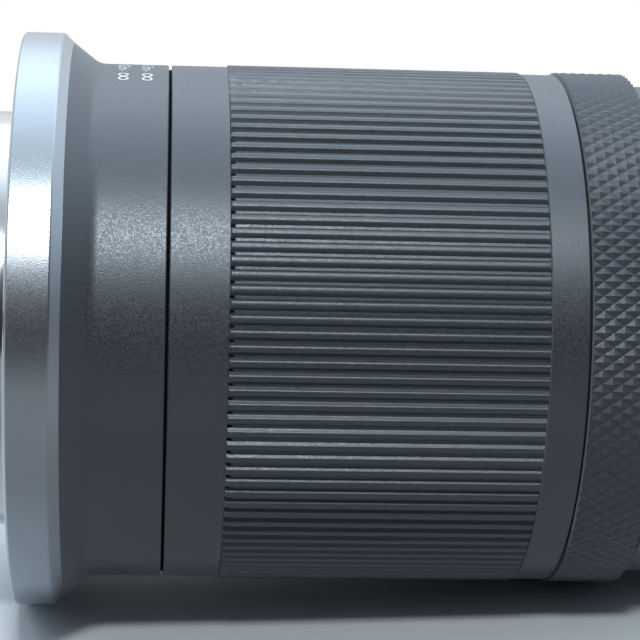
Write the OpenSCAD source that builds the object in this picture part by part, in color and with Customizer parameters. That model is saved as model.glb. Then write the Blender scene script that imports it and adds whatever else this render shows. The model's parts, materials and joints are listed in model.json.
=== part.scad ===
// Camera zoom lens: bayonet mount, zoom ring that extends the front barrel, knurled control ring
// Modules are drawn along their own Z axis, the optical axis, from the mount flange at 0 to the front
// lens_axis() lays that axis along +X with the top of the lens towards +Z

/* [Mount] */
// Wall of the trim ring round the flange
trim_wall = 1.7; // [1.3:0.1:2.1]
// Thickness of the bayonet flange
flange_t = 2; // [1.8:0.1:2.2]
// Width of the flange outside the tube that enters the camera
flange_face = 7.8; // [7.4:0.1:8.2]
// Wall of that tube
spigot_wall = 1.5; // [1.2:0.1:1.8]
// Length of that tube behind the flange
spigot_len = 5.4; // [5:0.1:5.8]
// Height of the three bayonet lugs on that tube
lug_h = 1.8; // [1.4:0.1:1.9]
// Thickness of a lug
lug_t = 1.5; // [1.2:0.1:1.7]
// Angle that a lug covers
lug_span = 42; // [34:1:48]
// Number of electrical contacts
contact_count = 12; // [8:1:12]
// Radius of a mount screw's shank
mount_screw_r = 0.8; // [0.7:0.05:0.9]

/* [Outer barrel] */
// Radius of the silver trim ring, the widest piece
trim_r = 34.5; // [34.2:0.1:35.5]
// Where the silver trim ring ends, from the flange
trim_end = 6.1; // [5.8:0.1:6.6]
// Height of the trim ring above the rear barrel and the zoom ring
flare_h = 3.55; // [3.2:0.05:3.8]
// Slope of the flare between barrel and trim ring
flare_angle = 38; // [34:1:42]
// Fillet at the foot of the flare
flare_fillet = 2.4; // [1.6:0.1:2.8]
// Where the rear barrel ends, from the flange
rear_end = 17.4; // [17:0.1:19]
// Width of the dark seams between the rings
seam = 0.35; // [0.3:0.05:0.5]
// How far the rear barrel's lip reaches under the zoom ring, past the seam
lap_len = 1; // [0.8:0.1:1.4]
// Wall of that lip
lap_wall = 0.35; // [0.3:0.05:0.4]

/* [Zoom ring] */
// Length of the zoom ring
zoom_len = 46.25; // [46:0.25:48]
// Smooth band behind the grip
grip_rear_band = 6.55; // [5.5:0.05:7]
// Smooth band in front of the grip
grip_front_band = 4.2; // [3.5:0.05:5]
// Number of ribs round the grip
rib_count = 120; // [100:4:130]
// Height of a rib above the groove beside it
rib_h = 0.45; // [0.3:0.05:0.5]
// How far the ribs stand above the smooth bands
rib_proud = 0.2; // [0.1:0.05:0.3]
// Share of a rib's pitch that is land
rib_land = 0.42; // [0.3:0.02:0.5]
// Wall of the zoom ring under its bands
zoom_wall = 1.2; // [1.1:0.05:1.25]

/* [Control ring] */
// Length of the control ring
control_len = 7.95; // [7.8:0.05:8.6]
// Diamonds round the knurl
knurl_count = 120; // [100:4:130]
// Half diamonds along the knurl
knurl_steps = 7; // [5:1:7]
// Height of a diamond's point above the valleys
knurl_h = 0.3; // [0.2:0.05:0.4]
// How far the points stand above the barrel
knurl_proud = 0.35; // [0.3:0.05:0.5]

/* [Front] */
// How far the front ring lies below the zoom ring
front_step = 1.15; // [0.8:0.05:1.3]
// Length of the front ring
front_len = 11.6; // [11.2:0.1:12.4]
// Wall of the front ring outside the filter thread
front_wall = 2.3; // [2.2:0.05:2.5]
// Depth of the filter thread
thread_len = 4.1; // [3.8:0.1:4.4]
// Margin between the filter thread and the front glass
glass_margin = 3.5; // [3.1:0.1:4.1]

/* [Zoom mechanism] */
// Turn of the zoom ring from wide to long
zoom_turn = 75; // [70:1:78]
// How much shorter than the zoom ring the front barrel's travel is
barrel_stop = 4.25; // [3.75:0.25:6.25]
// How much shorter than the zoom ring the carriage's travel is
carriage_stop = 26.25; // [25.75:0.25:27.25]
// Travel of the variator group
variator_travel = 8; // [7.5:0.25:8.25]
// Radius of a cam follower
follower_r = 1.2; // [1:0.05:1.3]
// Wall of the cam sleeve
cam_wall = 0.65; // [0.6:0.05:0.8]
// Wall of the guide tube
guide_wall = 0.75; // [0.65:0.05:0.85]
// Wall of the extension barrel
extension_wall = 1.05; // [0.9:0.05:1.15]

/* [Iris] */
// Distance of the open aperture from the carriage's rim
aperture_inset = 16.6; // [16.4:0.1:17]
// Swing of a blade from open to closed
blade_swing = 30; // [24:1:31]
// Thickness of a blade
blade_t = 0.1; // [0.08:0.01:0.12]
// Distance of the blade pivots from the open aperture
pivot_inset = 3.2; // [3:0.1:3.4]

/* [Stabiliser and focus] */
// Shift of the stabiliser lens each way
shift = 0.8; // [0.6:0.1:1]
// How much smaller than the open aperture the stabiliser lens is
shift_glass_step = 0.3; // [0.1:0.1:0.8]
// How much larger than the open aperture the focus lens is
focus_glass_step = 1; // [0.5:0.1:1.2]
// Distance of the focus guide rods from the carriage's rim
rod_inset = 6.4; // [6:0.1:6.9]
// Radius of a guide rod
rod_r = 0.8; // [0.6:0.05:0.9]

/* [Hidden] */
$fn = 240;

// Clearances: pieces of one body, turning fits, and pieces that slide past each other
fit = 0.05;
turn_gap = 0.2;
slide_gap = 0.3;
edge = 0.2;
seam_edge = 0.1;
glass_ledge = 0.9;
reach = 200;

// Outer radii
flange_r = trim_r - trim_wall;
spigot_r = flange_r - flange_face;
lug_r = spigot_r + lug_h;
barrel_r = trim_r - flare_h;
front_r = barrel_r - front_step;
thread_r = front_r - front_wall;
front_glass_r = thread_r - glass_margin;

// Stations along the axis
trim_start = 0.25;
zoom_start = rear_end + seam;
lap_end = rear_end + lap_len;
zoom_end = zoom_start + zoom_len;
grip_start = zoom_start + grip_rear_band;
grip_end = zoom_end - grip_front_band;
grip_len = grip_end - grip_start;
control_start = zoom_end + seam;
control_end = control_start + control_len;
carrier_end = control_end - slide_gap;
front_start = control_end + 2 * slide_gap;
front_end = front_start + front_len;
thread_start = front_end - thread_len;

// Radii from the zoom ring inwards
zoom_bore = barrel_r - zoom_wall;
cam_r = zoom_bore - 3 * fit;
cam_bore = cam_r - cam_wall;
cam_room = cam_r + turn_gap + 3 * fit;
lap_r = cam_room + lap_wall;
guide_r = cam_bore - turn_gap;
guide_bore = guide_r - guide_wall;
extension_r = guide_bore - turn_gap - fit;
extension_bore = extension_r - extension_wall;
inner_r = extension_bore - slide_gap;
aperture_r = inner_r - aperture_inset;
pivot_r = aperture_r + pivot_inset;
shift_glass_r = aperture_r - shift_glass_step;
focus_glass_r = aperture_r + focus_glass_step;
carrier_bore = guide_r + fit;
carrier_r = carrier_bore + 0.7;
carrier_flange_r = carrier_r + 0.5;
carrier_flange_t = 2;
carrier_start = zoom_end + 0.9 - carrier_flange_t;
shoulder_r = carrier_flange_r + turn_gap + fit;
retainer_t = 0.6;
retainer_r = carrier_flange_r + 0.2;
carrier_screw_z = control_start + 3.6;
carrier_screw_phase = 50;
carrier_screw_head_r = 1.25;
carrier_screw_seat = carrier_bore + 0.2;
sensor_angles = [100, 107];
sensor_z = control_start + 2.4;
sensor_w = 2;
sensor_len = 2.6;
sensor_t = 0.5;
seal_len = 1.4;
seal_depth = 0.45;

// Rear barrel
skirt_r = flange_r - 1;
skirt_wall = 2.4;
skirt_bore = skirt_r - skirt_wall;
lip_start = 8.8;
lip_end = 10;
lip_bore = skirt_bore - 3.4;
flange_bore = spigot_r - spigot_wall;
lug_gap = 0.4;
mount_screw_circle = (skirt_r + skirt_bore) / 2;
mount_screw_phase = 45;
mount_screw_head_r = 1.5;
mount_screw_seat = flange_t * 0.6;
mount_screw_depth = 3.2;
lug_starts = [10, 128, 252];
lock_hole_r = 1.3;
lock_hole_angle = 160;
bevel = 1.15;
soften = 0.1;
guide_flange_t = 1.2;
guide_flange_bore = lip_bore + 0.4;
guide_screw_r = 0.6;
guide_screw_circle = (guide_flange_bore + guide_bore) / 2 + 0.4;
guide_screw_phase = 20;
guide_screw_head_r = 1.1;
guide_screw_head_t = 0.8;

// Baffle and contacts inside the mount tube
baffle_r = flange_bore - fit;
baffle_wall = 1.1;
baffle_back = 1.2 - spigot_len;
baffle_t = 1;
window_w = 26;
window_h = 19;
window_corner = 1.5;
contact_back = slide_gap - spigot_len;
contact_circle = baffle_r - 2.75;
contact_pitch = 6.4;
contact_r = 0.55;
contact_len = 0.6;
contact_tip_r = 0.3;
contact_middle = 270;
contact_block_bore = baffle_r - 4.45;
contact_block_span = 84;

// Cam followers: start station and angle of each group
barrel_pin_z = 17;
barrel_pin_a = 0;
carriage_pin_z = 28;
carriage_pin_a = -45;
variator_pin_z = zoom_end - 12;
barrel_travel = zoom_len - barrel_stop;
carriage_travel = zoom_len - carriage_stop;
variator_pin_a = -90;
slot_r = follower_r + 0.15;
shank_r = 0.75;
follower_floor = 0.8;
follower_tip = cam_r - 0.1;
cam_start = 12.8;
cam_end = carrier_start - slide_gap - 0.1;
key_z = 35;
key_a = 10;
key_head_r = 1.3;
key_head_t = 0.35;
grip_seat_r = barrel_r - 0.65;

// Extension barrel and front glass, each seat set by the sag of the face that meets it
extension_start = 14;
extension_end = thread_start - 2.9;
name_r = thread_r - 0.5;
glass_vertex = thread_start - 0.9;
cement = 0.03;
front_curve = 60;
front_glass_t = 2.2;
joint_curve = 45;
front_seat = glass_vertex - front_glass_t - sag(joint_curve, front_glass_r) - fit;
second_glass_r = front_glass_r - 1.5;
second_back = front_seat - 0.6;
third_glass_r = front_glass_r - 3.5;
third_front_curve = 46;
third_back_curve = 100;
third_front = second_back - 0.5;
third_back = third_front - 3.6;
third_ledge = third_back - sag(third_back_curve, third_glass_r) - cement;
front_cell_start = third_ledge - 0.55;
front_cell_bore = third_glass_r - 0.7;
name_lip_r = front_glass_r - 1.1;
name_lip_z = glass_vertex - sag(front_curve, name_lip_r) + 5 * fit;
hood_groove_depth = 0.6;
hood_groove_w = 1.6;
hood_groove_back = front_end - 4;
hood_span = 46;
hood_entry = 22;
hood_phase = 30;

// Variator
variator_start = variator_pin_z - 1.4;
variator_len = 5;
variator_wall = 2.2;
variator_plate = variator_pin_z + 1;
variator_plate_t = 1.2;
variator_front_r = aperture_r + 3.2;
variator_rear_r = aperture_r + 0.7;
variator_cell_r = variator_front_r + 1.6;
variator_ledge_r = variator_rear_r - glass_ledge;
variator_seat = variator_pin_z + 1.45;
variator_step = variator_pin_z + 3;
variator_end = variator_pin_z + 9.4;
vent_r = 2.6;
vent_circle = (variator_cell_r + inner_r - variator_wall) / 2;

// Carriage
carriage_start = 26;
carriage_bore = aperture_r + 0.6;
relay_glass_r = aperture_r + 0.7;
relay_cell_r = relay_glass_r + 1.9;
relay_flange_r = relay_cell_r + 2.1;
relay_flange_t = 0.8;
relay_len = 4;
carriage_plate_t = 1.2;
iris_seat = 32;
carriage_end = 36;
relay_seat = carriage_end + relay_flange_t - fit;
cavity_r = inner_r - 2.8;
iris_plate_r = inner_r - 1.85;
iris_base_t = 0.8;
blade_level = 0.18;
blade_count = 7;
blade_inner_r = aperture_r + 0.1;
blade_outer_r = pivot_r - 0.9;
blade_span = 112;
blade_root_w = 2;
root_start = blade_inner_r + 0.6;
drive_r = pivot_r + 3.5;
drive_arm = drive_r - pivot_r;
drive_pin_r = 0.35;
drive_play = 0.12;
pivot_pin_r = 0.45;
drive_closed_r = norm([pivot_r + drive_arm * cos(blade_swing), drive_arm * sin(blade_swing)]);
blade_start = iris_seat + iris_base_t + 0.1;
blade_stack_end = blade_start + (blade_count - 1) * blade_level + blade_t;
iris_ring_start = blade_stack_end + slide_gap;
iris_ring_t = 0.6;
pin_top = iris_ring_start + iris_ring_t;
iris_ring_r = drive_r + 1.7;
iris_ring_bore = pivot_r + 1.8;
iris_cover_plate = iris_ring_start + iris_ring_t + 0.25;

// Stabiliser between the carriage plate and the iris base
shift_guide_start = carriage_start + carriage_plate_t + slide_gap;
shift_guide_t = 0.8;
shift_frame_start = shift_guide_start + shift_guide_t + slide_gap;
shift_plate_t = 1;
shift_guide_bore = shift_glass_r + 5;
shift_guide_r = cavity_r - shift - 1;
shift_slot_w = 1.4;
shift_slot_r = (shift_guide_bore + shift_guide_r - shift_slot_w) / 2;
shift_slot_len = 4;
shift_cell_r = shift_glass_r + 2.6;
shift_seat = shift_frame_start + 0.5;
shift_frame_end = iris_seat - 2 * slide_gap;

// Focus group behind the carriage
bracket_start = 11.8;
bracket_t = 1;
post_circle = inner_r - 3;
post_r = 1.2;
post_angles = [15, 105, 285];
rod_angles = [60, 240];
rod_seat = 0.8;
rod_boss = 1;
bracket_bore = focus_glass_r + 4.7;
rod_circle = inner_r - rod_inset;
screw_circle = rod_circle - 0.5;
screw_angle = 150;
screw_r = 0.7;
motor_r = 2.8;
motor_len = 4.2;
motor_start = carriage_start - motor_len;
plug_w = 3.2;
plug_inset = 0.6;
focus_start = 17.4;
focus_len = 3.6;
focus_cell_r = focus_glass_r + 2.8;
focus_ledge = 0.8;
arm_w = 2.4;
arm_t = 2;

// Rear group
rear_glass_r = flange_bore - 11;
rear_flange_r = skirt_bore - 2.4;
rear_flange_t = 1.2;
rear_cell_r = rear_glass_r + 1.9;
rear_cell_back = -2.4;
rear_cell_front = 8;
rear_seat = 1.6;
standoff_h = 2;
standoff_r = 1.4;
standoff_circle = rear_flange_r - 4.5;
board_start = flange_t + rear_flange_t + standoff_h;
board_t = 1;
board_bore = rear_cell_r + 2.1;
chip_circle = (board_bore + rear_flange_r) / 2;
chip_h = 0.9;
// Angle, depth and width of each chip
chips = [[60, 5, 5], [150, 4, 6], [225, 5, 7], [300, 4, 4]];

module lens_axis() rotate([90, 0, 90]) children();

module ring(r_in, r_out, z0, z1) rotate_extrude() translate([r_in, z0]) square([r_out - r_in, z1 - z0]);

module revolve(points) rotate_extrude() polygon(points);

module sector(r_in, r_out, z0, z1, start, span)
  rotate([0, 0, start]) rotate_extrude(angle = span) translate([r_in, z0]) square([r_out - r_in, z1 - z0]);

module around(count, phase = 0) for (i = [0:count - 1]) rotate([0, 0, phase + 360 * i / count]) children();

module at(radius, angle, z) rotate([0, 0, angle]) translate([radius, 0, z]) children();

module radial(r, from, to, z) translate([from, 0, z]) rotate([0, 90, 0]) cylinder(r = r, h = to - from);

function sag(curve, r) = curve - sqrt(curve * curve - r * r);

function arc(cr, cz, r, a0, a1, n) =
  [for (i = [0:n]) let (a = a0 + (a1 - a0) * i / n) [cr + r * cos(a), cz + r * sin(a)]];

module bulge(curve, centre)
  if (curve > 0) translate([0, 0, centre]) sphere(curve);
  else cylinder(r = reach, h = 2 * reach, center = true);

// Lens between two points of the axis: a positive curve bulges out, a negative one is hollow, 0 is flat
module element(r, back, front, back_curve, front_curve) {
  low = back - (back_curve < 0 ? sag(-back_curve, r) : 0);
  high = front + (front_curve < 0 ? sag(-front_curve, r) : 0);
  difference() {
    intersection() {
      translate([0, 0, low]) cylinder(r = r, h = high - low);
      bulge(front_curve, front - front_curve);
      bulge(back_curve, back + back_curve);
    }
    if (front_curve < 0) translate([0, 0, front - front_curve]) sphere(-front_curve);
    if (back_curve < 0) translate([0, 0, back + back_curve]) sphere(-back_curve);
  }
}

// Straight slot through a tube wall, with round ends
module straight_slot(z0, z1, r_in, r_out) {
  radial(slot_r, r_in, r_out, z0);
  radial(slot_r, r_in, r_out, z1);
  translate([r_in, -slot_r, z0]) cube([r_out - r_in, 2 * slot_r, z1 - z0]);
}

// Helical slot through the cam sleeve, as wide as a follower needs square to its run
module cam_slot(z0, travel) {
  middle_r = (cam_r + cam_bore) / 2;
  lean = atan2(middle_r * zoom_turn * PI / 180, travel);
  half = slot_r / cos(lean) / middle_r * 180 / PI;
  inside = cam_bore - 1;
  outside = (cam_r + 1) / cos(half);
  over_turn = zoom_turn * slot_r / travel;
  intersection() {
    translate([0, 0, z0 - slot_r]) rotate([0, 0, over_turn])
      linear_extrude(height = travel + 2 * slot_r, twist = zoom_turn + 2 * over_turn, slices = 36, $fn = 4)
        polygon([for (side = [[inside, -half], [outside, -half], [outside, half], [inside, half]])
          side[0] * [cos(side[1]), sin(side[1])]]);
    union() {
      ring(inside - 2, outside + 1, z0, z0 + travel);
      sector(inside - 2, outside + 1, z0 - slot_r, z0 + travel + slot_r, -zoom_turn, zoom_turn);
    }
  }
  radial(slot_r, inside, cam_r + 1, z0);
  rotate([0, 0, -zoom_turn]) radial(slot_r, inside, cam_r + 1, z0 + travel);
}

// Cam follower: shank in its carrier, roller through the slots
module followers(z, angle, seat_r, carrier_r)
  around(3, angle) {
    radial(shank_r, seat_r, carrier_r + fit, z);
    radial(follower_r, carrier_r + fit, follower_tip, z);
  }

// Rectangle with round corners, centred
module window(w, h, r) {
  square([w - 2 * r, h], center = true);
  square([w, h - 2 * r], center = true);
  for (x = [-1, 1], y = [-1, 1]) translate([x * (w / 2 - r), y * (h / 2 - r)]) circle(r = r);
}

// Small screw head with a cross recess, facing down
module cross_recess(size, depth)
  for (turn = [0, 90]) rotate([0, 0, turn])
    translate([-size / 2, -size / 8, 0]) cube([size, size / 4, depth]);

module mount_plate() lens_axis() color("silver") difference() {
  union() {
    revolve([
      [flange_bore, -spigot_len], [spigot_r - edge, -spigot_len], [spigot_r, edge - spigot_len],
      [spigot_r, slide_gap], [lug_r + lug_gap, slide_gap], [lug_r + lug_gap, 0], [flange_r - edge, 0],
      [flange_r, edge], [flange_r, flange_t], [flange_bore, flange_t]
    ]);
    for (start = lug_starts)
      sector(spigot_r - 2 * fit, lug_r, edge - spigot_len, edge - spigot_len + lug_t, start, lug_span);
  }
  around(4, mount_screw_phase) translate([mount_screw_circle, 0, -reach]) {
    cylinder(r = mount_screw_head_r + fit, h = reach + mount_screw_seat);
    cylinder(r = mount_screw_r + fit, h = 2 * reach);
  }
  at(mount_screw_circle, lock_hole_angle, -reach) cylinder(r = lock_hole_r, h = 2 * reach);
}

module mount_screws() lens_axis() color("dimgray")
  around(4, mount_screw_phase) translate([mount_screw_circle, 0, 0]) difference() {
    union() {
      translate([0, 0, slide_gap]) cylinder(r = mount_screw_head_r, h = mount_screw_seat - slide_gap);
      translate([0, 0, mount_screw_seat]) cylinder(r = mount_screw_r, h = mount_screw_depth);
    }
    cross_recess(1.2 * mount_screw_head_r, slide_gap + 0.5);
  }

module trim_ring() lens_axis() color("lightsteelblue") revolve([
  [flange_r + fit, trim_start], [trim_r - edge, trim_start], [trim_r, trim_start + edge],
  [trim_r, trim_end - bevel - soften], [trim_r - soften, trim_end - bevel + soften],
  [trim_r - bevel + soften, trim_end - soften], [trim_r - bevel, trim_end], [skirt_r + fit, trim_end],
  [skirt_r + fit, flange_t], [flange_r + fit, flange_t]
]);

module rear_barrel() lens_axis() color("dimgray") {
  flare_r = trim_r - bevel - fit;
  foot_r = barrel_r + flare_fillet * (1 - cos(flare_angle));
  foot_z = trim_end + fit + (flare_r - foot_r) / tan(flare_angle);
  arc_z = foot_z + flare_fillet * sin(flare_angle);
  difference() {
    revolve(concat(
      [[skirt_bore, flange_t], [skirt_r, flange_t], [skirt_r, trim_end], [flare_r, trim_end],
        [flare_r, trim_end + fit]],
      arc(barrel_r + flare_fillet, arc_z, flare_fillet, 180 + flare_angle, 180, 8),
      [[barrel_r, rear_end - seam_edge], [barrel_r - seam_edge, rear_end], [lap_r, rear_end], [lap_r, lap_end],
        [cam_room, lap_end], [cam_room, lip_end], [lip_bore, lip_end], [lip_bore, lip_start],
        [skirt_bore, lip_start]]
    ));
    around(4, mount_screw_phase) translate([mount_screw_circle, 0, 0])
      cylinder(r = mount_screw_r + fit, h = flange_t + mount_screw_depth);
    around(3, guide_screw_phase) translate([guide_screw_circle, 0, 0])
      cylinder(r = guide_screw_r + fit, h = reach);
  }
}

module rear_baffle() lens_axis() color("#1c1d1f") difference() {
  union() {
    ring(baffle_r - baffle_wall, baffle_r, contact_back, flange_t);
    translate([0, 0, baffle_back]) cylinder(r = baffle_r - baffle_wall / 2, h = baffle_t);
  }
  translate([0, 0, -reach]) linear_extrude(height = 2 * reach) window(window_w, window_h, window_corner);
}

module contact_places() for (i = [0:contact_count - 1])
  at(contact_circle, contact_middle + contact_pitch * (i - (contact_count - 1) / 2), contact_back)
    children();

module contact_block() lens_axis() color("#202124") difference() {
  sector(contact_block_bore, baffle_r - baffle_wall - fit, contact_back, baffle_back,
    contact_middle - contact_block_span / 2, contact_block_span);
  contact_places() translate([0, 0, -1]) cylinder(r = contact_r + fit, h = contact_len + 1);
}

module contact_pins() lens_axis() color("goldenrod") contact_places() {
  cylinder(r = contact_r, h = contact_len);
  sphere(r = contact_tip_r);
}

module rear_cell() lens_axis() color("#25272a") {
  ledge_r = rear_glass_r - glass_ledge;
  back_of_board = flange_t + rear_flange_t;
  revolve([
    [ledge_r, rear_cell_back], [rear_cell_r, rear_cell_back], [rear_cell_r, flange_t],
    [rear_flange_r, flange_t], [rear_flange_r, back_of_board], [rear_cell_r, back_of_board],
    [rear_cell_r, rear_cell_front],
    [rear_glass_r + fit, rear_cell_front], [rear_glass_r + fit, rear_seat], [ledge_r, rear_seat]
  ]);
  around(3, 30) translate([standoff_circle, 0, back_of_board]) cylinder(r = standoff_r, h = standoff_h);
}

module rear_lens() lens_axis() color("lightcyan", 0.5) {
  back_curve = 60;
  back = rear_seat - sag(back_curve, rear_glass_r - glass_ledge) + cement;
  element(rear_glass_r, back, rear_cell_front - 1, back_curve, 50);
}

module main_board() lens_axis() color("darkgreen") {
  ring(board_bore, rear_flange_r, board_start, board_start + board_t);
  for (chip = chips)
    at(chip_circle, chip[0], board_start)
      translate([-chip[1] / 2, -chip[2] / 2, 0]) cube([chip[1], chip[2], board_t + chip_h]);
}

// Straight slots that keep the three sliding groups from turning
module guide_slots(z, angle, travel)
  around(3, angle) straight_slot(z, z + travel, guide_bore - 1, guide_r + 1);

module guide_tube() lens_axis() color("#3a3d41") difference() {
  union() {
    ring(guide_bore, guide_r, lip_end, carrier_end);
    ring(guide_flange_bore, cam_r + turn_gap, lip_end, lip_end + guide_flange_t);
  }
  guide_slots(barrel_pin_z, barrel_pin_a, barrel_travel);
  guide_slots(carriage_pin_z, carriage_pin_a, carriage_travel);
  guide_slots(variator_pin_z, variator_pin_a, variator_travel);
  around(3, guide_screw_phase) translate([guide_screw_circle, 0, 0])
    cylinder(r = guide_screw_r + fit, h = lip_end + guide_flange_t + 1);
  around(3, carrier_screw_phase) radial(shank_r, guide_bore - 1, guide_r + 1, carrier_screw_z);
  translate([0, 0, carrier_end - seal_len]) cylinder(r = guide_bore + seal_depth, h = seal_len + 1);
}

module guide_screws() lens_axis() color("dimgray") around(3, guide_screw_phase)
  translate([guide_screw_circle, 0, lip_start]) {
    translate([0, 0, -guide_screw_head_t]) cylinder(r = guide_screw_head_r, h = guide_screw_head_t);
    cylinder(r = guide_screw_r, h = lip_end - lip_start + guide_flange_t - 2 * fit);
  }

module sensor_places() for (angle = sensor_angles) at(carrier_bore, angle, sensor_z) children();

module front_carrier() lens_axis() color("#303236") difference() {
  union() {
    ring(carrier_bore, carrier_r, carrier_start, carrier_end);
    ring(carrier_bore, carrier_flange_r, carrier_start, carrier_start + carrier_flange_t);
  }
  around(3, carrier_screw_phase) {
    radial(shank_r, carrier_bore - 1, carrier_r + 1, carrier_screw_z);
    radial(carrier_screw_head_r, carrier_screw_seat, carrier_r + 1, carrier_screw_z);
  }
  sensor_places() translate([-1, -sensor_w / 2 - 2 * fit, 0])
    cube([3, sensor_w + 4 * fit, sensor_len + 2 * fit]);
}

module carrier_screws() lens_axis() color("dimgray") around(3, carrier_screw_phase) {
  radial(shank_r - fit, guide_bore + fit, carrier_screw_seat, carrier_screw_z);
  radial(carrier_screw_head_r - fit, carrier_screw_seat, carrier_r - fit, carrier_screw_z);
}

module control_sensors() lens_axis() color("#15171a") sensor_places()
  translate([fit, -sensor_w / 2, fit]) cube([sensor_t, sensor_w, sensor_len]);

module control_retainer() lens_axis() color("#2a2c30")
  ring(extension_r + slide_gap + fit, retainer_r, carrier_end, carrier_end + retainer_t);

module light_seal() lens_axis() color("#101010")
  ring(extension_r + turn_gap, guide_bore + seal_depth - fit,
    carrier_end - seal_len + fit, carrier_end - fit);

module zoom_ring() lens_axis() color("#4a4e54") difference() {
  revolve([
    [zoom_bore, lap_end + slide_gap], [lap_r + turn_gap, lap_end + slide_gap], [lap_r + turn_gap, zoom_start],
    [barrel_r - seam_edge, zoom_start], [barrel_r, zoom_start + seam_edge],
    [barrel_r, grip_start], [grip_seat_r, grip_start], [grip_seat_r, grip_end], [barrel_r, grip_end],
    [barrel_r, zoom_end - seam_edge], [barrel_r - seam_edge, zoom_end], [shoulder_r, zoom_end],
    [shoulder_r, cam_end + fit], [zoom_bore, cam_end + fit]
  ]);
  around(3, key_a) radial(shank_r, zoom_bore - 1, barrel_r, key_z);
  around(3, key_a) radial(key_head_r + fit, grip_seat_r - key_head_t, barrel_r, key_z);
}

// Ribbed rubber sleeve: each rib is a land with eased edges and steep flanks
module zoom_grip() lens_axis() color("#3d4147") {
  rib_r = barrel_r + rib_proud;
  floor_r = rib_r - rib_h;
  pitch = 360 / rib_count;
  half = pitch * rib_land / 2;
  ease = 0.1;
  flank = 1.2 * ease / rib_r * 180 / PI;
  run_out = rib_proud + 2 * edge;
  intersection() {
    translate([0, 0, grip_start]) linear_extrude(height = grip_len) difference() {
      polygon([for (i = [0:rib_count - 1])
        for (step = [[-half - 2 * flank, floor_r], [-half - flank, rib_r - ease], [-half, rib_r],
            [half, rib_r], [half + flank, rib_r - ease], [half + 2 * flank, floor_r]])
          step[1] * [cos(i * pitch + step[0]), sin(i * pitch + step[0])]]);
      circle(r = grip_seat_r + fit);
    }
    revolve([[0, grip_start], [barrel_r - edge, grip_start], [rib_r + edge, grip_start + run_out],
      [rib_r + edge, grip_end - run_out], [barrel_r - edge, grip_end], [0, grip_end]]);
  }
}

module cam_sleeve() lens_axis() color("#b5b9bd") difference() {
  ring(cam_bore, cam_r, cam_start, cam_end);
  around(3, barrel_pin_a) cam_slot(barrel_pin_z, barrel_travel);
  around(3, carriage_pin_a) cam_slot(carriage_pin_z, carriage_travel);
  around(3, variator_pin_a) cam_slot(variator_pin_z, variator_travel);
  around(3, key_a) radial(shank_r, cam_bore - 1, cam_r + 1, key_z);
}

module zoom_keys() lens_axis() color("silver") around(3, key_a) {
  radial(shank_r - fit, cam_bore + fit, grip_seat_r - key_head_t, key_z);
  radial(key_head_r, grip_seat_r - key_head_t, grip_seat_r - fit, key_z);
}

// Diamond knurl: a grid of half steps where points and valleys alternate, so each diamond is a pyramid
module knurl_drum(r_peak, r_valley, z0, z1) {
  across = 2 * knurl_count;
  rows = knurl_steps;
  grid = [for (j = [0:rows]) for (i = [0:across - 1])
    let (r = (i + j) % 2 == 0 ? r_peak : r_valley, a = 180 * i / knurl_count)
      [r * cos(a), r * sin(a), z0 + (z1 - z0) * j / rows]];
  top = len(grid);
  function at_grid(i, j) = j * across + i % across;
  sides = [for (j = [0:rows - 1]) for (i = [0:across - 1])
    each (i + j) % 2 == 0
      ? [[at_grid(i, j), at_grid(i, j + 1), at_grid(i + 1, j)],
         [at_grid(i + 1, j), at_grid(i, j + 1), at_grid(i + 1, j + 1)]]
      : [[at_grid(i, j), at_grid(i, j + 1), at_grid(i + 1, j + 1)],
         [at_grid(i, j), at_grid(i + 1, j + 1), at_grid(i + 1, j)]]];
  ends = [for (i = [0:across - 1]) each [
    [top, at_grid(i, 0), at_grid(i + 1, 0)],
    [top + 1, at_grid(i + 1, rows), at_grid(i, rows)]]];
  polyhedron(concat(grid, [[0, 0, z0], [0, 0, z1]]), concat(sides, ends));
}

module control_ring() lens_axis() color("#3a3e44") {
  r_peak = barrel_r + knurl_proud;
  r_valley = r_peak - knurl_h;
  difference() {
    knurl_drum(r_peak, r_valley, control_start, control_end);
    translate([0, 0, control_start - 1]) cylinder(r = carrier_r + turn_gap + fit, h = control_len + 2);
    translate([0, 0, control_start - 1])
      cylinder(r = shoulder_r, h = carrier_start + carrier_flange_t + slide_gap - control_start + 1);
    translate([0, 0, carrier_end - slide_gap]) cylinder(r = retainer_r + turn_gap, h = 2);
  }
}

module extension_barrel() lens_axis() color("#33363b") difference() {
  ring(extension_bore, extension_r, extension_start, extension_end);
  around(3, barrel_pin_a) radial(shank_r + fit / 2, extension_bore - 1, extension_r + 1, barrel_pin_z);
  around(3, carriage_pin_a) straight_slot(0, carriage_pin_z, extension_bore - 1, extension_r + 1);
  around(3, variator_pin_a) straight_slot(0, variator_pin_z, extension_bore - 1, extension_r + 1);
}

module barrel_followers() lens_axis() color("khaki")
  followers(barrel_pin_z, barrel_pin_a, extension_bore + 2 * fit, extension_r);

// Front ring: barrel seat, filter thread wall, and the hood bayonet's groove with its entries
module front_ring() lens_axis() color("#2f3237") difference() {
  revolve([
    [extension_r + fit, front_start], [front_r - edge, front_start], [front_r, front_start + edge],
    [front_r, front_end - 2 * edge], [front_r - 2 * edge, front_end], [thread_r + edge, front_end],
    [thread_r, front_end - edge], [thread_r, thread_start], [name_r + fit, thread_start],
    [name_r + fit, extension_end], [extension_r + fit, extension_end]
  ]);
  around(3, hood_phase) {
    floor_r = front_r - hood_groove_depth;
    sector(floor_r, front_r + 1, hood_groove_back, hood_groove_back + hood_groove_w, 0, hood_span);
    sector(floor_r, front_r + 1, hood_groove_back, front_end + 1, 0, hood_entry);
  }
}

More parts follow.
